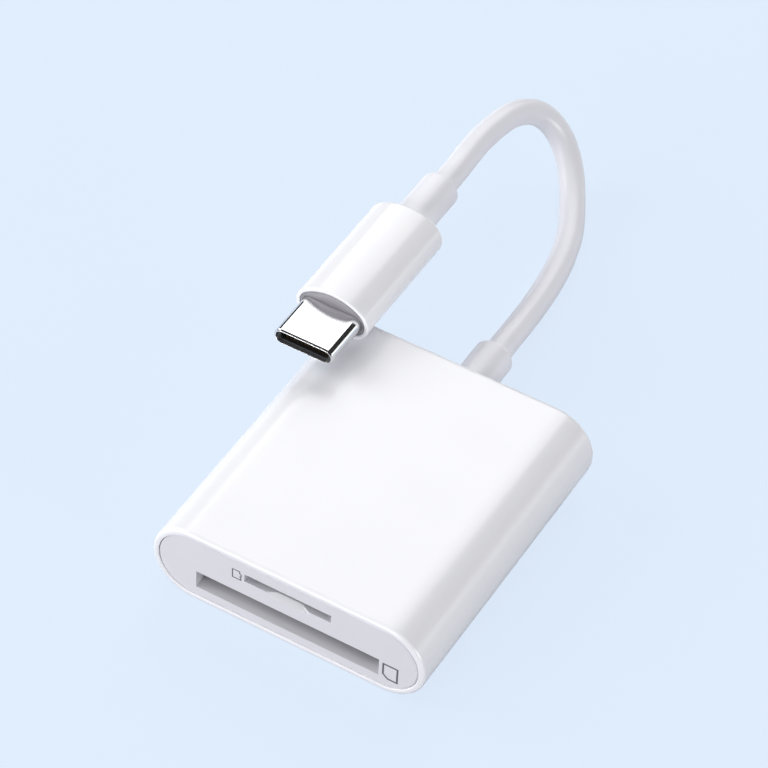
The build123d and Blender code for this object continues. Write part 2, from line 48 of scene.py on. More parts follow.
# %% [markdown]
# ## The camera
# The picture was taken with a long lens from above the front right corner. The edges of the front
# plate and of the housing fix where the camera stood, so its place, its directions and its focal
# length are known. A camera looks along its own -Z, so its matrix holds the directions to its
# right, upwards and backwards as columns.

# %% Camera
PICTURE_WIDTH = 768
FOCAL_PIXELS = 3734.4
SENSOR_MM = 36.0
NEAREST, FARTHEST = 0.01, 20.0
CAMERA_PLACE = np.array((138.86, -259.78, 332.61)) * MM
AZIMUTH, ELEVATION, ROLL = np.radians((28.126, 46.199, 3.367))


def camera_axes(azimuth, elevation, roll):
    """Right, up and back: back points from the object to the camera at that azimuth and elevation,
    right is level before the roll, and the roll turns right and up about back."""
    level = np.array((math.cos(azimuth), math.sin(azimuth), 0.0))
    back = np.array((
        math.sin(azimuth) * math.cos(elevation),
        -math.cos(azimuth) * math.cos(elevation),
        math.sin(elevation),
    ))
    over = np.cross(back, level)
    right = math.cos(roll) * level + math.sin(roll) * over
    up = -math.sin(roll) * level + math.cos(roll) * over
    return right, up, back


def new_object(name, data):
    """An object that shows this data, linked into the scene."""
    made = bpy.data.objects.new(name, data)
    bpy.context.scene.collection.objects.link(made)
    return made


def turn_and_place(thing, axes, place):
    """Gives an object its X, Y and Z directions and its place. Blender reads the matrix by columns."""
    matrix = np.eye(4)
    matrix[:3, :3] = np.stack(axes, axis=1)
    matrix[:3, 3] = place
    thing.matrix_world = matrix.T.tolist()


lens = bpy.data.cameras.new("camera")
lens.sensor_width = SENSOR_MM
lens.lens = FOCAL_PIXELS / PICTURE_WIDTH * SENSOR_MM
lens.clip_start, lens.clip_end = NEAREST, FARTHEST
camera = new_object("camera", lens)
turn_and_place(camera, camera_axes(AZIMUTH, ELEVATION, ROLL), CAMERA_PLACE)
bpy.context.scene.camera = camera
print("lens in mm", round(lens.lens, 1))

# %% [markdown]
# ## The cable
# A thin moulded cable has a springy, even line: it leaves the housing level, sinks to the table,
# turns back in one loop and rises to the plug. A NURBS spline through few control points gives
# such a line by itself, where joined arcs would look like bent wire. A round bevel makes the tube.
# Blender counts each point's radius in the curve's box, so the points hold the tube's radius in
# metres and the bevel's depth is 1.

# %% Cable
CABLE_DIAMETER = 3.4 * MM
cable_route = MM * np.array((
    (0.0, 28.4, 5.55),
    (0.0, 32.1, 5.55),
    (-0.5, 37.6, 4.4),
    (-1.2, 43.5, 3.3),
    (-2.3, 49.7, 2.3),
    (-4.0, 55.7, 1.7),
    (-6.6, 61.1, 1.7),
    (-9.3, 65.4, 3.3),
    (-12.1, 67.1, 6.6),
    (-14.8, 66.1, 9.8),
    (-16.5, 62.4, 11.8),
    (-17.0, 57.2, 12.8),
    (-17.0, 51.8, 13.4),
    (-16.3, 46.3, 14.2),
    (-16.3, 42.5, 14.2),
))
cable_curve = bpy.data.curves.new("cable_jacket", "CURVE")
cable_curve.dimensions = "3D"
spline = cable_curve.splines.new("NURBS")
spline.points.add(len(cable_route) - 1)
spline.points.foreach_set("co", np.column_stack((cable_route, np.ones(len(cable_route)))).ravel())
spline.points.foreach_set("radius", np.full(len(cable_route), CABLE_DIAMETER / 2))
spline.order_u = 3
spline.use_endpoint_u = True
spline.resolution_u = 16
cable_curve.bevel_depth = 1.0
cable_curve.bevel_resolution = 10
cable_curve.use_fill_caps = True
cable_jacket = new_object("cable_jacket", cable_curve)
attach(cable_jacket, "root")
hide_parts("cable")
print("cable points", len(cable_route), "length in mm", round(spline.calc_length() / MM, 2))

# %% [markdown]
# ## Outlines
# The housing, the barrel, the steel shell and the strain reliefs are tubes whose section is a
# stadium, an oval or a circle. Such a tube could be a swept curve. Here each section is an array of
# points with their outward directions, because a smaller section then lies simply a given inset
# inside it, with its points in step.


# %% Outlines
def stadium_outline(width, height, end_steps, side_steps):
    """Points and outward directions of a stadium: two half circles of the height's diameter, joined
    by straight sides. The half circles turn evenly, and the sides are divided evenly."""
    spine = (width - height) / 2
    turn = np.linspace(-np.pi / 2, np.pi / 2, end_steps + 1)
    slide = np.linspace(spine, -spine, side_steps + 1)[1:-1]
    straight = np.full(side_steps - 1, np.pi / 2)
    end = np.full(end_steps + 1, spine)
    angle = np.concatenate((turn, straight, turn + np.pi, -straight))
    centre = np.concatenate((end, slide, -end, -slide))
    out = np.stack((np.cos(angle), np.sin(angle)), axis=1)
    points = np.stack((centre, np.zeros_like(centre)), axis=1) + height / 2 * out
    return points, out


def oval_outline(width, height, end_radius, steps):
    """Points and outward directions of an oval of four arcs: two end arcs of end_radius and two
    flatter ones that meet them smoothly. A direction at angle a belongs to the arc whose sector
    holds it, and its point is that arc's centre plus its radius along the direction."""
    end_x = width / 2 - end_radius
    rise = height / 2 - end_radius
    drop = (end_x**2 - rise**2) / (2 * rise)
    angle = np.linspace(0, 2 * np.pi, steps, endpoint=False)
    out = np.stack((np.cos(angle), np.sin(angle)), axis=1)
    at_end = np.abs(np.sin(angle)) * end_x < np.abs(np.cos(angle)) * drop
    end_arc = np.stack((np.sign(out[:, 0]) * end_x, 0 * angle), axis=1) + end_radius * out
    flat_arc = np.stack((0 * angle, -np.sign(out[:, 1]) * drop), axis=1) + (height / 2 + drop) * out
    return np.where(at_end[:, None], end_arc, flat_arc), out


def circle_outline(diameter, steps):
    """Points and outward directions of a circle."""
    angle = np.linspace(0, 2 * np.pi, steps, endpoint=False)
    out = np.stack((np.cos(angle), np.sin(angle)), axis=1)
    return diameter / 2 * out, out


# %% [markdown]
# ## Profiles
# A profile is a line of insets and depths: a straight wall, a rounded edge, a rolled mouth. Carried
# round an outline it gives a whole surface of walls and soft edges. A bevel modifier could round the
# edges afterwards, but a written profile gives each edge its own radius. A ring stands EDGE_GAP
# away from each round, so that the smooth shading of the round doesn't run along the wall.

# %% Profiles
EDGE_GAP = 0.3


def straight_wall(start, stop, count):
    """Points of an outer wall: inset 0, at even depths from start to stop."""
    return np.stack((np.zeros(count), np.linspace(start, stop, count)), axis=1)


def arc(inset, depth, radius, start, stop, steps):
    """A quarter or so of a circle in the profile's plane: centre (inset, depth) plus radius times
    the cosine and sine of angles from start to stop, in degrees."""
    angle = np.radians(np.linspace(start, stop, steps + 1))
    return np.stack((inset + radius * np.cos(angle), depth + radius * np.sin(angle)), axis=1)


def rolled_edge(mouth, stages, steps=7):
    """A wall that leans in towards its mouth. Each stage is a length and the tilts between which it
    turns evenly, in degrees: a short step goes its sine inwards and its cosine along the wall, and
    the steps add up to the profile, which ends at the mouth's depth."""
    tilt = np.radians([np.linspace(start, stop, steps) for _, start, stop in stages]).ravel()
    step = np.repeat([length / steps for length, _, _ in stages], steps)
    inset = np.concatenate(((0,), np.cumsum(step * np.sin(tilt))))
    along = np.concatenate(((0,), np.cumsum(step * np.cos(tilt))))
    return np.stack((inset, mouth + along[-1] - along), axis=1)


def carry(outline, profile):
    """A profile of (inset, y) carried round an outline: each point is the outline's point less the
    inset along its outward direction, at depth y. Rows follow the profile, columns the outline."""
    points, out = outline
    profile = np.asarray(profile, float)
    flat = points[None] - profile[:, :1, None] * out[None]
    depth = np.broadcast_to(profile[:, 1:], flat.shape[:2])
    return np.stack((flat[..., 0], depth, flat[..., 1]), axis=2)


# %% [markdown]
# ## End faces
# A rear wall runs from the outer section to a round hole, and the grey nose from its oval edge to
# the slit for the shell. The two shapes differ, so the inner one gets a point in the direction of
# each point of the outer one, and even rows lie between them.


# %% End faces
def span(row_a, row_b, steps):
    """Rows between two rings with as many points, in even steps from the first to the second."""
    share = np.linspace(0, 1, steps + 1)[1:-1, None, None]
    return row_a[None] * (1 - share) + row_b[None] * share


def circle_under(row, diameter, depth):
    """A circle at that depth with one point in the polar direction of each point of a ring."""
    angle = np.arctan2(row[:, 2], row[:, 0])
    flat = np.stack((np.cos(angle), 0 * angle, np.sin(angle)), axis=1)
    return flat * diameter / 2 + (0, depth, 0)


def stadium_under(row, width, height, depth):
    """A stadium at that depth with one point in the polar direction of each point of a ring. A ray
    meets a straight side at height / 2 over its sine, or else an end circle."""
    angle = np.arctan2(row[:, 2], row[:, 0])
    spine, radius = (width - height) / 2, height / 2
    cosine, sine = np.abs(np.cos(angle)), np.abs(np.sin(angle))
    to_side = radius / np.maximum(sine, 1e-9)
    to_end = spine * cosine + np.sqrt(np.maximum(radius**2 - (spine * sine) ** 2, 0))
    reach = np.where(to_side * cosine <= spine, to_side, to_end)
    return np.stack((np.cos(angle) * reach, 0 * angle + depth, np.sin(angle) * reach), axis=1)


# %% [markdown]
# ## From rows to a piece
# The rows of a grid become a mesh in one call. The grid closes both ways, so the mesh has no open
# edge, and the volume that its faces hold tells whether they point outwards.


# %% Meshes
def closed_grid(high, wide):
    """Quads of a grid that closes both ways: the corners of each are a point, the one below it, the
    one below and beside it, and the one beside it, where the last row or column meets the first."""
    down, along = np.meshgrid(np.arange(high), np.arange(wide), indexing="ij")
    below, beside = (down + 1) % high, (along + 1) % wide
    corners = ((down, along), (below, along), (below, beside), (down, beside))
    return np.stack([a * wide + b for a, b in corners], axis=2).reshape(-1, 4)


def add_piece(name, points, quads, smooth):
    """A mesh object from points in millimetres and quads, which rides on the body."""
    mesh = bpy.data.meshes.new(name)
    mesh.from_pydata(points * MM, [], quads)
    mesh.polygons.foreach_set("use_smooth", np.full(len(quads), smooth))
    mesh.update()
    piece = new_object(name, mesh)
    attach(piece, "root")
    return piece


def ring_piece(name, rows, place, replaced):
    """A closed mesh from rows of rings, in millimetres about place. Its volume is a sixth of the sum
    of first . (second x third) + first . (third x fourth) over the corners of its quads, and they
    are turned outwards if it is negative."""
    rows = np.concatenate([row.reshape(-1, *row.shape[-2:]) for row in rows]) + place
    points, quads = rows.reshape(-1, 3), closed_grid(*rows.shape[:2])
    first, second, third, fourth = points[quads].transpose(1, 0, 2)
    crossed = np.cross(second, third) + np.cross(third, fourth)
    volume = np.einsum("ij,ij->", first, crossed) / 6
    piece = add_piece(name, points, quads if volume > 0 else quads[:, ::-1], smooth=True)
    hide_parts(replaced)
    print(name, "quads", len(quads), "volume in mm3", round(abs(volume), 1))
    return piece


# %% [markdown]
# ## The housing
# The housing is one white moulding: a stadium tube with a closed rear wall. Its front edge is a
# slim rim that stands a little proud of the grey plate, softened outside and inside, and that soft
# edge is what catches the bright line round the plate. The rear wall has a round hole for the
# cable, so its face runs from the stadium to a circle, direction by direction.

# %% Housing
BODY_WIDTH, BODY_HEIGHT, BODY_LENGTH = 36.6, 11.1, 40.8
WALL, REAR_WALL, RIM = 1.3, 1.6, 0.85
RIM_ROUND, RIM_INNER_ROUND, REAR_ROUND, REAR_FACE_GAP = 0.5, 0.15, 1.0, 0.25
PLATE_BACK = 1.72
RELIEF_DIAMETER, HOLE_CLEARANCE = 5.1, 0.05
hole = RELIEF_DIAMETER + 2 * HOLE_CLEARANCE
body_outline = stadium_outline(BODY_WIDTH, BODY_HEIGHT, end_steps=48, side_steps=44)
body_place = (0, 0, BODY_HEIGHT / 2)
front, rear = -BODY_LENGTH / 2, BODY_LENGTH / 2
outer = carry(body_outline, np.concatenate((
    arc(RIM_ROUND, front + RIM_ROUND, RIM_ROUND, 270, 180, 10),
    straight_wall(front + RIM_ROUND + EDGE_GAP, rear - REAR_ROUND - EDGE_GAP, 12),
    arc(REAR_ROUND, rear - REAR_ROUND, REAR_ROUND, 180, 90, 12),
    ((REAR_ROUND + REAR_FACE_GAP, rear),),
)))
hole_out = circle_under(outer[-1], hole, rear)
hole_in = circle_under(outer[-1], hole, rear - REAR_WALL)
inner = carry(body_outline, np.concatenate((
    ((WALL, rear - REAR_WALL), (WALL, front + PLATE_BACK), (RIM, front + PLATE_BACK)),
    arc(RIM - RIM_INNER_ROUND, front + RIM_INNER_ROUND, RIM_INNER_ROUND, 0, -90, 6),
)))
ring_piece(
    "housing",
    (outer, span(outer[-1], hole_out, 6), hole_out, hole_in, span(hole_in, inner[0], 3), inner),
    body_place, "housing_sleeve",
)

# %% [markdown]
# ## Rails inside the housing
# The board slides into the housing from the front. Two grooved rails hold its edges, with a stop
# at the rear end of each groove, and three low ribs carry the wide socket. They are straight
# mouldings, so each is a list of blocks between two corners, sunk a little into the wall, and a
# bevel takes the sharpness off their edges as the mould does.

# %% Rails and ribs
RAIL_FRONT, RAIL_REAR, RAIL_STOP = -18.68, 18.8, 13.3
RAIL_INNER, GROOVE_END, RAIL_OUTER = 14.664, 15.664, 17.1
RAIL_BOTTOM, GROOVE_BOTTOM, GROOVE_TOP, RAIL_TOP = 4.7, 5.5, 6.7, 7.5
RIB_PLACES, RIB_WIDTH = np.array((-9.0, 0.0, 9.0)), 0.8
RIB_FRONT, RIB_REAR, RIB_BOTTOM, RIB_TOP = -17.38, 6.97, 1.1, 2.25
OVERLAP, RAIL_BEVEL, BEVEL_STEPS = 0.1, 0.08, 2
lip_end = GROOVE_END + OVERLAP
right_rail = np.array((
    ((GROOVE_END, RAIL_FRONT, RAIL_BOTTOM), (RAIL_OUTER, RAIL_REAR, RAIL_TOP)),
    ((RAIL_INNER, RAIL_FRONT, RAIL_BOTTOM), (lip_end, RAIL_REAR, GROOVE_BOTTOM)),
    ((RAIL_INNER, RAIL_FRONT, GROOVE_TOP), (lip_end, RAIL_REAR, RAIL_TOP)),
    ((RAIL_INNER, RAIL_STOP, GROOVE_BOTTOM - OVERLAP), (lip_end, RAIL_REAR, GROOVE_TOP + OVERLAP)),
))
left_rail = right_rail.copy()
left_rail[:, :, 0] = -right_rail[:, ::-1, 0]
rib = np.array(((-RIB_WIDTH / 2, RIB_FRONT, RIB_BOTTOM), (RIB_WIDTH / 2, RIB_REAR, RIB_TOP)))
ribs = rib + RIB_PLACES[:, None, None] * (1, 0, 0)


def block_piece(name, ends, replaced, bevel_mm):
    """Boxes in one mesh, in millimetres. Corner (i, j, k) of a box takes x, y and z from its low or
    high end, and the same six faces, turned outwards, are repeated for every box."""
    pick = np.indices((2, 2, 2)).reshape(3, -1)
    points = np.stack([ends[:, low_or_high, axis] for axis, low_or_high in enumerate(pick)], axis=2)
    sides = np.array((
        (0, 1, 3, 2), (4, 6, 7, 5), (0, 4, 5, 1), (2, 3, 7, 6), (0, 2, 6, 4), (1, 5, 7, 3),
    ))
    quads = (np.arange(len(ends))[:, None, None] * pick.shape[1] + sides).reshape(-1, 4)
    piece = add_piece(name, points.reshape(-1, 3), quads, smooth=False)
    soft = piece.modifiers.new("moulded edges", "BEVEL")
    soft.width, soft.segments = bevel_mm * MM, BEVEL_STEPS
    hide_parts(replaced)
    print(name, "blocks", len(ends))


blocks = np.concatenate((right_rail, left_rail, ribs))
block_piece("board_rails", blocks, "housing_sleeve", RAIL_BEVEL)

# %% [markdown]
# ## The plug
# The plug's barrel is an oval cup. Its front lip stands round a sunk grey plate, the nose, and the
# bright steel shell comes out of that. The shell is drawn from sheet, so its mouth has a rolled
# edge, which a mirror-like metal shows as a dark and a bright line. Its profile is written as the
# tilt of the wall along the edge, because the tilt decides what the edge mirrors.

# %% Barrel
PLUG = (-16.3, 0.0, 14.2)
BARREL_WIDTH, BARREL_HEIGHT, BARREL_END = 10.1, 6.9, 2.7
PLUG_FRONT, PLUG_REAR, BARREL_REAR_WALL = 16.1, 34.5, 1.2
BARREL_WALL, LIP, LIP_ROUND, BARREL_ROUND = 0.8, 0.5, 0.2, 0.7
NOSE_FRONT, NOSE_BACK, NOSE_GAP = 16.22, 17.42, 0.05
plug_wall = PLUG_REAR - BARREL_REAR_WALL
barrel_outline = oval_outline(BARREL_WIDTH, BARREL_HEIGHT, BARREL_END, steps=144)
outer = carry(barrel_outline, np.concatenate((
    ((BARREL_WALL, NOSE_BACK), (LIP, NOSE_BACK), (LIP, NOSE_FRONT)),
    arc(LIP - LIP_ROUND / 2, PLUG_FRONT + LIP_ROUND / 2, LIP_ROUND / 2, 0, -90, 5),
    arc(LIP_ROUND, PLUG_FRONT + LIP_ROUND, LIP_ROUND, 270, 180, 7),
    straight_wall(PLUG_FRONT + LIP_ROUND + EDGE_GAP, PLUG_REAR - BARREL_ROUND - EDGE_GAP, 8),
    arc(BARREL_ROUND, PLUG_REAR - BARREL_ROUND, BARREL_ROUND, 180, 90, 12),
)))
hole_out = circle_under(outer[-1], hole, PLUG_REAR)
hole_in = circle_under(outer[-1], hole, plug_wall)
inner = carry(barrel_outline, ((BARREL_WALL, plug_wall),))
barrel = ring_piece(
    "barrel", (outer, span(outer[-1], hole_out, 3), hole_out, hole_in, inner),
    PLUG, "plug_barrel",
)

# %% Nose and shell
SHELL_WIDTH, SHELL_HEIGHT, SHELL_WALL, SHELL_FIT = 8.25, 2.4, 0.28, 0.03
SHELL_MOUTH, SHELL_REAR, MOUTH_INNER, MOUTH_DEPTH = 9.5, 22.12, 0.03, 0.7
MOUTH_STAGES = ((0.07, 0, 42), (0.22, 42, 50), (0.06, 50, 90))
edge = carry(barrel_outline, ((LIP + NOSE_GAP, NOSE_BACK), (LIP + NOSE_GAP, NOSE_FRONT)))
opening = (SHELL_WIDTH + 2 * SHELL_FIT, SHELL_HEIGHT + 2 * SHELL_FIT)
slit_front = stadium_under(edge[-1], *opening, NOSE_FRONT)
slit_back = stadium_under(edge[-1], *opening, NOSE_BACK)
nose = ring_piece("nose", (edge, slit_front, slit_back), PLUG, "plug_nose_insert")
shell_outline = stadium_outline(SHELL_WIDTH, SHELL_HEIGHT, end_steps=32, side_steps=16)
drawn = carry(shell_outline, np.concatenate((
    ((0, SHELL_REAR), (0, NOSE_FRONT), (0, SHELL_MOUTH + MOUTH_DEPTH)),
    rolled_edge(SHELL_MOUTH, MOUTH_STAGES),
    arc(SHELL_WALL - MOUTH_INNER, SHELL_MOUTH + MOUTH_INNER, MOUTH_INNER, 270, 360, 5),
    ((SHELL_WALL, SHELL_MOUTH + MOUTH_DEPTH), (SHELL_WALL, SHELL_REAR)),
)))
shell = ring_piece("shell", (drawn,), PLUG, "plug_shell")

# %% [markdown]
# ## The strain reliefs
# A short soft sleeve guards the cable at each end. It is turned about the cable, with a flange
# that the wall holds from inside and a soft rounded end that the cable leaves. Its rows close
# through a hair-thin tube along the axis, so the grid needs no poles.

# %% Strain reliefs
RELIEF_LENGTH, RELIEF_ROUND, RELIEF_FACE_GAP, AXIS_RING = 8.0, 0.45, 0.2, 1e-3
FLANGE_DIAMETER, FLANGE_THICKNESS = 7.0, 1.2
PLUG_FLANGE_HEIGHT, PLUG_FLANGE_THICKNESS = 4.9, 1.0
relief_outline = circle_outline(RELIEF_DIAMETER, steps=72)


def relief_rows(wall_y, end, flange_y, flange_x, flange_z):
    """A sleeve from its flange to its end: circles along the cable, an oval flange in front of the
    wall, and both ends closed at the axis."""
    to_axis = RELIEF_DIAMETER / 2 - AXIS_RING
    body = carry(relief_outline, np.concatenate((
        ((0, wall_y), (0, wall_y + EDGE_GAP), (0, end - RELIEF_ROUND - EDGE_GAP)),
        arc(RELIEF_ROUND, end - RELIEF_ROUND, RELIEF_ROUND, 180, 90, 10),
        ((RELIEF_ROUND + RELIEF_FACE_GAP, end), (to_axis, end)),
    )))
    flange = carry(relief_outline, ((to_axis, flange_y), (0, flange_y), (0, wall_y)))
    flange[1:] *= (flange_x / RELIEF_DIAMETER, 1, flange_z / RELIEF_DIAMETER)
    return flange, body


body_wall = rear - REAR_WALL
body_relief = ring_piece(
    "body_relief",
    relief_rows(
        body_wall, rear + RELIEF_LENGTH, body_wall - FLANGE_THICKNESS,
        FLANGE_DIAMETER, FLANGE_DIAMETER,
    ),
    body_place, "body_strain_relief",
)
plug_relief = ring_piece(
    "plug_relief",
    relief_rows(
        plug_wall, PLUG_REAR + RELIEF_LENGTH, plug_wall - PLUG_FLANGE_THICKNESS,
        FLANGE_DIAMETER, PLUG_FLANGE_HEIGHT,
    ),
    PLUG, "plug_strain_relief",
)

# %% [markdown]

# %% [markdown]
# ## The card marks
# Beside each slot a small card is drawn in thin grey ink, a plain outline that shows which card
# goes where. It could be painted in the plate's material, but thin geometry keeps its corners
# sharp. Each mark is a closed line of constant width that stands a hair off the plate's face.

# %% Card marks
PLATE_SUNK, INK_THICKNESS = 0.12, 0.015
PLATE_FACE = front + PLATE_SUNK
WIDE_LINE, SMALL_LINE = 0.23, 0.14
WIDE_CARD = ((12.88, 4.65), (14.75, 4.65), (14.75, 2.32), (13.53, 2.32), (12.88, 2.9))
SMALL_CARD = (
    (-7.39, 8.52), (-6.42, 8.52), (-6.42, 8.22), (-6.22, 8.06), (-6.22, 7.78),
    (-6.38, 7.62), (-6.26, 7.46), (-6.26, 7.15), (-7.39, 7.15),
)


def mark_piece(name, corners, line_width):
    """A line round a polygon in the plate's plane: at each corner the line's two edges lie half its
    width either way along the mitre, the sum of both sides' normals over one plus their cosine. Four
    rings go round it: the outer edge on the plate and raised, and the inner edge raised and on it."""
    corners = np.array(corners)
    side = np.roll(corners, -1, axis=0) - corners
    side /= np.linalg.norm(side, axis=1)[:, None]
    normal = np.stack((side[:, 1], -side[:, 0]), axis=1)
    before = np.roll(normal, 1, axis=0)
    mitre = (normal + before) / (1 + np.sum(normal * before, axis=1))[:, None]
    way, raised = np.array(((1, 0), (1, 1), (-1, 1), (-1, 0))).T[..., None]
    flat = corners + way[..., None] * line_width / 2 * mitre
    depth = np.broadcast_to(PLATE_FACE - raised * INK_THICKNESS, flat.shape[:2])
    rows = np.stack((flat[..., 0], depth, flat[..., 1]), axis=2)
    quads = closed_grid(*rows.shape[:2])[:, ::-1]
    add_piece(name, rows.reshape(-1, 3), quads, smooth=False)
    print(name, "corners", len(corners))


mark_piece("wide_card_mark", WIDE_CARD, WIDE_LINE)
mark_piece("small_card_mark", SMALL_CARD, SMALL_LINE)

# %% [markdown]
# ## Finishes
# Colours are written as the sRGB hex values that one sees, and turned to the linear values that
# the renderer works in. One function adds a node, sets it and links it.


# %% Colour and nodes
def linear(colour):
    """The linear colour of an sRGB hex value: each channel c is c / 12.92 below 0.04045, and above
    it ((c + 0.055) / 1.055) to the power 2.4."""
    c = np.array([int(colour[i : i + 2], 16) for i in (1, 3, 5)]) / 255
    c = np.where(c <= 0.04045, c / 12.92, ((c + 0.055) / 1.055) ** 2.4)
    return (*c.tolist(), 1.0)


def add_node(tree, kind, settings=None, links=None):
    """Adds one node. Settings name its properties or its inputs, and links join an input to another
    node's output."""
    made = tree.nodes.new(kind)
    for key, value in (settings or {}).items():
        if isinstance(key, str) and hasattr(made, key):
            setattr(made, key, value)
        else:
            made.inputs[key].default_value = value
    for key, (source, output) in (links or {}).items():
        tree.links.new(source.outputs[output], made.inputs[key])
    return made


def new_material(name):
    """An empty material and its tree."""
    material = bpy.data.materials.new(name)
    material.use_nodes = True
    material.node_tree.nodes.clear()
    return material, material.node_tree


# %% [markdown]
# ## Moulded plastic
# Polycarbonate, ABS and nylon parts take the fine grain of their mould: a spark-eroded texture of a
# quarter of a millimetre or less that softens the gloss, and hardly any on the polished white
# ones. Larger flow patches change the gloss a little, and the colour hardly at all. The grain is
# drawn at twice its real size where it would be too fine to see. Inside the slots the grey plate's
# colour darkens with depth: painted shade for the shade that falls deep in the slots.

# %% How a moulded plastic is made
GLOSS_SPREAD, GRAIN_STRENGTH = 0.05, 0.6


def moulded_plastic(
    name, pale, deep, roughness, grain_mm, depth_mm, patch_mm=9.0, ior=1.53, painted_shade=None,
):
    """A plastic whose colour drifts between two near tones over patches, with a gloss that drifts
    the same way and a fine grain in relief. A painted shade, if given, is two places along Y, between
    which the colour passes evenly to a third one: painted shade that stands in for shade in a recess."""
    material, tree = new_material(name)
    place = add_node(tree, "ShaderNodeTexCoord")
    on_object = {"Vector": (place, "Object")}
    patches = add_node(
        tree, "ShaderNodeTexNoise", {"Scale": 1 / (patch_mm * MM), "Detail": 2.0}, on_object
    )
    grain = add_node(
        tree, "ShaderNodeTexNoise", {"Scale": 1 / (grain_mm * MM), "Detail": 1.5}, on_object
    )
    colour = add_node(
        tree, "ShaderNodeMix", {"data_type": "RGBA", 6: linear(pale), 7: linear(deep)},
        {0: (patches, 0)},
    )
    # Painted shade: between the two places along Y the colour passes evenly to the shade colour.
    if painted_shade:
        start_mm, stop_mm, shade_colour = painted_shade
        axes = add_node(tree, "ShaderNodeSeparateXYZ", None, {0: (place, "Object")})
        depth = add_node(
            tree, "ShaderNodeMapRange",
            {"From Min": start_mm * MM, "From Max": stop_mm * MM}, {"Value": (axes, "Y")},
        )
        colour = add_node(
            tree, "ShaderNodeMix", {"data_type": "RGBA", 7: linear(shade_colour)},
            {0: (depth, 0), 6: (colour, 2)},
        )
    gloss = add_node(
        tree, "ShaderNodeMapRange",
        {"To Min": roughness - GLOSS_SPREAD, "To Max": roughness + GLOSS_SPREAD},
        {"Value": (patches, 0)},
    )
    relief = add_node(
        tree, "ShaderNodeBump", {"Strength": GRAIN_STRENGTH, "Distance": depth_mm * MM},
        {"Height": (grain, 0)},
    )
    surface = add_node(
        tree, "ShaderNodeBsdfPrincipled", {"IOR": ior},
        {"Base Color": (colour, 2), "Roughness": (gloss, 0), "Normal": (relief, 0)},
    )
    add_node(tree, "ShaderNodeOutputMaterial", None, {"Surface": (surface, 0)})
    print("material", name)
    return material


# %% [markdown]
# ## The plastics that show
# The housing and the barrel are polished polycarbonate, with its higher IOR. The plate and the nose
# are matt, the cable and its sleeves a satin elastomer, and the marks are a dry film of ink. Each
# line gives two tones, the roughness, the grain's width and depth, and the width of a patch, in mm.

# %% Outer plastics
POLYCARBONATE_IOR = 1.585
# Painted shade: the grey plate darkens from 0.7 to 2.7 mm behind its face, where the slots lie in
# shade.
SLOT_SHADE_FROM, SLOT_SHADE_TO = 0.7, 2.7
painted_slot_shade = (PLATE_FACE + SLOT_SHADE_FROM, PLATE_FACE + SLOT_SHADE_TO, "#a5a4aa")
white_shell = moulded_plastic(
    "white_polycarbonate_satin", "#f9f9fd", "#f6f6fb", 0.22, 0.25, 0.001, ior=POLYCARBONATE_IOR
)
white_barrel = moulded_plastic(
    "white_polycarbonate_gloss", "#f9f9fd", "#f6f6fb", 0.19, 0.3, 0.001, ior=POLYCARBONATE_IOR
)
plate_grey = moulded_plastic(
    "grey_abs_matt", "#e8e7ed", "#e4e3e9", 0.45, 0.2, 0.003, painted_shade=painted_slot_shade
)
nose_grey = moulded_plastic("grey_nylon_matt", "#9c9aa0", "#96949a", 0.5, 0.2, 0.003)
jacket_white = moulded_plastic(
    "white_elastomer_satin", "#f3f3f9", "#eeeef5", 0.33, 0.35, 0.003, 6.0
)
socket_black = moulded_plastic(
    "black_liquid_crystal_polymer", "#1f2022", "#18191a", 0.5, 0.15, 0.004, 3.0
)
mark_ink = moulded_plastic("grey_pad_print_ink", "#57585d", "#626368", 0.55, 0.1, 0.002, 0.6)

# %% [markdown]
# ## The plastics inside
# What the housing hides has finishes of its own, for the day that someone takes it apart: resin and
# ceramic on the board, soft PVC on the four wires, and lacquer on the board itself.

# %% Inner plastics
nylon_natural = moulded_plastic("natural_nylon", "#dcd9cf", "#d4d0c4", 0.5, 0.3, 0.003)
chip_resin = moulded_plastic("black_epoxy_resin", "#232325", "#2b2b2d", 0.6, 0.12, 0.004, 1.5)
capacitor_clay = moulded_plastic("tan_ceramic", "#9a7f5c", "#8b7150", 0.6, 0.08, 0.002, 0.5)
resistor_glaze = moulded_plastic(
    "black_glazed_ceramic", "#1d1d1f", "#262628", 0.3, 0.1, 0.002, 0.5
)
wire_red = moulded_plastic("red_pvc", "#b01c1a", "#a31614", 0.4, 0.2, 0.002, 2.0)
wire_white = moulded_plastic("white_pvc", "#ecebe6", "#e5e4de", 0.4, 0.2, 0.002, 2.0)
wire_green = moulded_plastic("green_pvc", "#1e7a35", "#19702f", 0.4, 0.2, 0.002, 2.0)
wire_black = moulded_plastic("black_pvc", "#1b1b1c", "#232324", 0.4, 0.2, 0.002, 2.0)
board_green = moulded_plastic("green_solder_mask", "#15502f", "#114528", 0.3, 0.4, 0.006, 4.0)

# %% [markdown]
# ## Metals
# The shell is drawn from steel sheet and plated with nickel: almost a mirror, with faint lines along
# the draw. The socket covers are plain stainless sheet with a rolled grain, and the contacts are
# copper alloy under a flash of gold. A metal's colour is its reflection, so it keeps the default IOR.

# %% Metals
STREAK_GLOSS, STREAK_STRENGTH = 0.3, 0.5


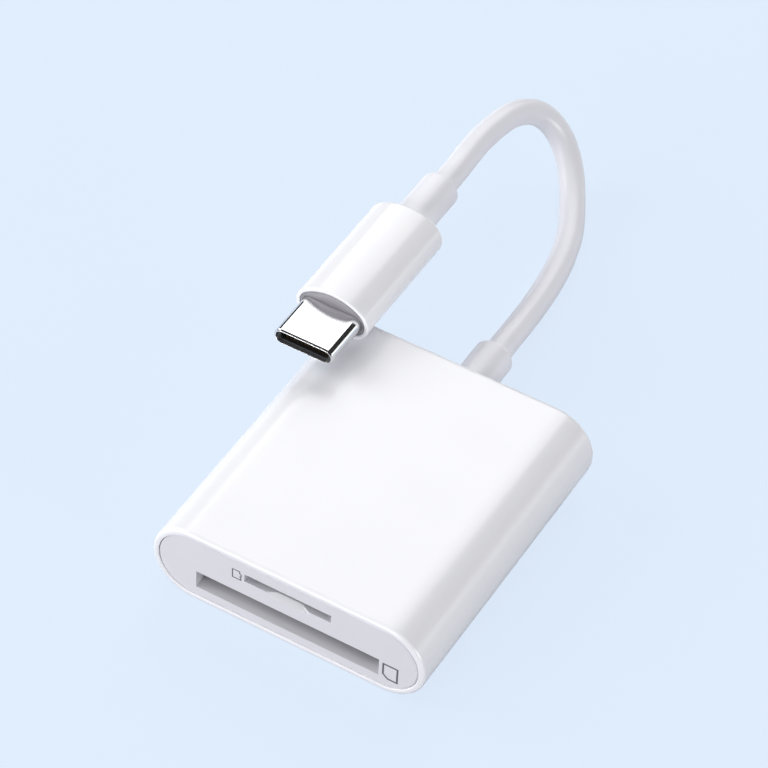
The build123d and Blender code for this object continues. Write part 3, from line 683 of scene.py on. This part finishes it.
def drawn_metal(name, bright, dull, roughness, line_mm, run_mm, depth_mm):
    """A metal with faint lines along Y: noise squeezed to line_mm across and stretched to run_mm along
    them drives its tint, its gloss and a shallow relief."""
    material, tree = new_material(name)
    place = add_node(tree, "ShaderNodeTexCoord")
    lines = add_node(
        tree, "ShaderNodeMapping",
        {"Scale": (1 / (line_mm * MM), 1 / (run_mm * MM), 1 / (line_mm * MM))},
        {"Vector": (place, "Object")},
    )
    streaks = add_node(
        tree, "ShaderNodeTexNoise", {"Scale": 1.0, "Detail": 2.0}, {"Vector": (lines, 0)}
    )
    colour = add_node(
        tree, "ShaderNodeMix", {"data_type": "RGBA", 6: linear(bright), 7: linear(dull)},
        {0: (streaks, 0)},
    )
    gloss = add_node(
        tree, "ShaderNodeMapRange",
        {"To Min": roughness * (1 - STREAK_GLOSS), "To Max": roughness * (1 + STREAK_GLOSS)},
        {"Value": (streaks, 0)},
    )
    relief = add_node(
        tree, "ShaderNodeBump", {"Strength": STREAK_STRENGTH, "Distance": depth_mm * MM},
        {"Height": (streaks, 0)},
    )
    surface = add_node(
        tree, "ShaderNodeBsdfPrincipled", {"Metallic": 1.0},
        {"Base Color": (colour, 2), "Roughness": (gloss, 0), "Normal": (relief, 0)},
    )
    add_node(tree, "ShaderNodeOutputMaterial", None, {"Surface": (surface, 0)})
    print("material", name)
    return material


nickel = drawn_metal("nickel_plated_steel", "#ececec", "#e4e4e5", 0.14, 0.3, 8.0, 0.0002)
stainless = drawn_metal("rolled_stainless_steel", "#d8d8d6", "#c9c9c8", 0.28, 0.12, 6.0, 0.0008)
gold = drawn_metal("gold_flashed_copper", "#e6c27a", "#d8b068", 0.2, 0.1, 2.0, 0.0004)

# %% [markdown]
# ## Which piece has which finish
# Every object gets one material. They could be given where each piece is made, but one table of
# finishes and pieces is easier to check. It names the new pieces and the solids that keep their own
# shape alike.

# %% Assign the finishes
finishes = {
    white_shell: ["housing", "board_rails"],
    white_barrel: ["barrel"],
    plate_grey: ["front_bezel"],
    nose_grey: ["nose"],
    jacket_white: ["cable_jacket", "body_relief", "plug_relief", "cable_inner_end"],
    socket_black: [
        "wide_socket_base", "wide_socket_frame", "small_socket_base", "small_socket_frame",
        "plug_insulator",
    ],
    mark_ink: ["wide_card_mark", "small_card_mark"],
    nylon_natural: ["plug_inner_mould"],
    chip_resin: ["controller_chip"],
    capacitor_clay: ["chip_capacitors"],
    resistor_glaze: ["chip_resistors", "plug_resistor"],
    wire_red: ["power_wire"],
    wire_white: ["data_minus_wire"],
    wire_green: ["data_plus_wire"],
    wire_black: ["ground_wire", "plug_wires"],
    board_green: ["main_board", "plug_paddle_board"],
    nickel: ["shell", "plug_latch_plate"],
    stainless: ["wide_socket_cover", "small_socket_cover"],
    gold: [
        "wide_contacts", "wide_switch_contacts", "small_contacts",
        "plug_upper_contacts", "plug_lower_contacts",
    ],
}
for material, names in finishes.items():
    for name in names:
        bpy.data.objects[name].data.materials.clear()
        bpy.data.objects[name].data.materials.append(material)
print("finished pieces", sum(len(names) for names in finishes.values()))

# %% [markdown]
# ## The table
# The reader lies on a plain pale blue table. A painted plane under the lamps would be lit unevenly,
# so the camera sees mostly the table's own even colour, with a tenth of its lit paint for a faint
# shadow. Glossy faces mirror a little of that colour, and the light that the table throws back on
# the reader is that of a darker, greyer paint.

# %% Table
FLOOR_SIZE, FLOOR_DROP = 6.0, 1e-5
FLOOR_HEX = "#e1eefe"
FLOOR_GLOW, FLOOR_MIRRORED = 0.9, 0.12
FLOOR_BOUNCE = "#727482"
material, tree = new_material("pale_blue_table")
ray = add_node(tree, "ShaderNodeLightPath")
shown = add_node(
    tree, "ShaderNodeMath", {"operation": "MAXIMUM"},
    {0: (ray, "Is Camera Ray"), 1: (ray, "Is Glossy Ray")},
)
tint = add_node(
    tree, "ShaderNodeMix", {"data_type": "RGBA", 6: linear(FLOOR_BOUNCE), 7: linear(FLOOR_HEX)},
    {0: (shown, 0)},
)
paint = add_node(tree, "ShaderNodeBsdfDiffuse", None, {"Color": (tint, 2)})
glow = add_node(tree, "ShaderNodeEmission", {"Color": linear(FLOOR_HEX), "Strength": 1.0})
direct = add_node(
    tree, "ShaderNodeMath", {"operation": "MULTIPLY", 1: FLOOR_GLOW}, {0: (ray, "Is Camera Ray")}
)
mirrored = add_node(
    tree, "ShaderNodeMath", {"operation": "MULTIPLY", 1: FLOOR_MIRRORED}, {0: (ray, "Is Glossy Ray")}
)
share = add_node(
    tree, "ShaderNodeMath", {"operation": "MAXIMUM"}, {0: (direct, 0), 1: (mirrored, 0)}
)
seen = add_node(tree, "ShaderNodeMixShader", None, {0: (share, 0), 1: (paint, 0), 2: (glow, 0)})
add_node(tree, "ShaderNodeOutputMaterial", None, {"Surface": (seen, 0)})
half = FLOOR_SIZE / 2
floor_mesh = bpy.data.meshes.new("table")
floor_mesh.from_pydata(
    [(-half, -half, 0), (half, -half, 0), (half, half, 0), (-half, half, 0)], [], [(0, 1, 2, 3)]
)
floor_mesh.materials.append(material)
table = new_object("table", floor_mesh)
table.location.z = -FLOOR_DROP
print("table", FLOOR_SIZE, "m wide")

# %% [markdown]
# ## The light
# The reader stands in a dark room, among soft panels. The widest is behind and above, where the flat
# faces mirror it towards the camera and look white. One panel each lights the left, the right and
# the front from low down, and a faint one overhead softens the shadows. On the round right sides the
# back panel's mirror image ends before the right panel is strong, which leaves a grey band. The dark
# gaps between the panels draw the black stripe along the steel shell, and a narrow strip at the back
# right draws the white one beside it.

# %% Room
ROOM_GREY = 0.03
world = bpy.data.worlds.new("room")
world.use_nodes = True
tree = world.node_tree
tree.nodes.clear()
ray = add_node(tree, "ShaderNodeLightPath")
tint = add_node(
    tree, "ShaderNodeMix",
    {"data_type": "RGBA", 6: (ROOM_GREY, ROOM_GREY, ROOM_GREY, 1.0), 7: linear(FLOOR_HEX)},
    {0: (ray, "Is Camera Ray")},
)
air = add_node(tree, "ShaderNodeBackground", {"Strength": 1.0}, {"Color": (tint, 2)})
add_node(tree, "ShaderNodeOutputWorld", None, {"Surface": (air, 0)})
bpy.context.scene.world = world
print("room", ROOM_GREY)

# %% Lights
# Azimuth and elevation in degrees, distance and size in metres, and level.
PANELS = {
    "back_panel": (111, 40, 1.0, (0.94, 0.76), 0.62),
    "top_panel": (200, 84, 1.0, (0.9, 0.9), 0.14),
    "left_key": (193, 29, 1.0, (0.6, 0.5), 0.5),
    "right_fill": (352, 9, 0.9, (0.4, 0.34), 0.56),
    "front_fill": (250, 13, 1.0, (1.0, 0.35), 0.78),
    "back_right_strip": (37, 7, 1.0, (0.4, 0.25), 0.05),
}


def softbox(name, azimuth, elevation, distance, size, level):
    """A rectangular soft light seen from the reader at an azimuth and elevation, in degrees, facing
    it. Level 1 lights a facing white wall to white, for which a small lamp needs pi squared times its
    distance squared, in watts."""
    azimuth, elevation = math.radians(azimuth), math.radians(elevation)
    back = np.array((
        math.cos(elevation) * math.cos(azimuth),
        math.cos(elevation) * math.sin(azimuth),
        math.sin(elevation),
    ))
    side = np.cross((0.0, 0.0, 1.0), back)
    side /= np.linalg.norm(side)
    lamp = bpy.data.lights.new(name, "AREA")
    lamp.shape = "RECTANGLE"
    lamp.size, lamp.size_y = size
    lamp.energy = math.pi**2 * distance**2 * level
    turn_and_place(new_object(name, lamp), (side, np.cross(back, side), back), back * distance)
    print("light", name, round(lamp.energy, 2), "W")


for name, panel in PANELS.items():
    softbox(name, *panel)
bpy.context.scene.view_settings.view_transform = "Standard"
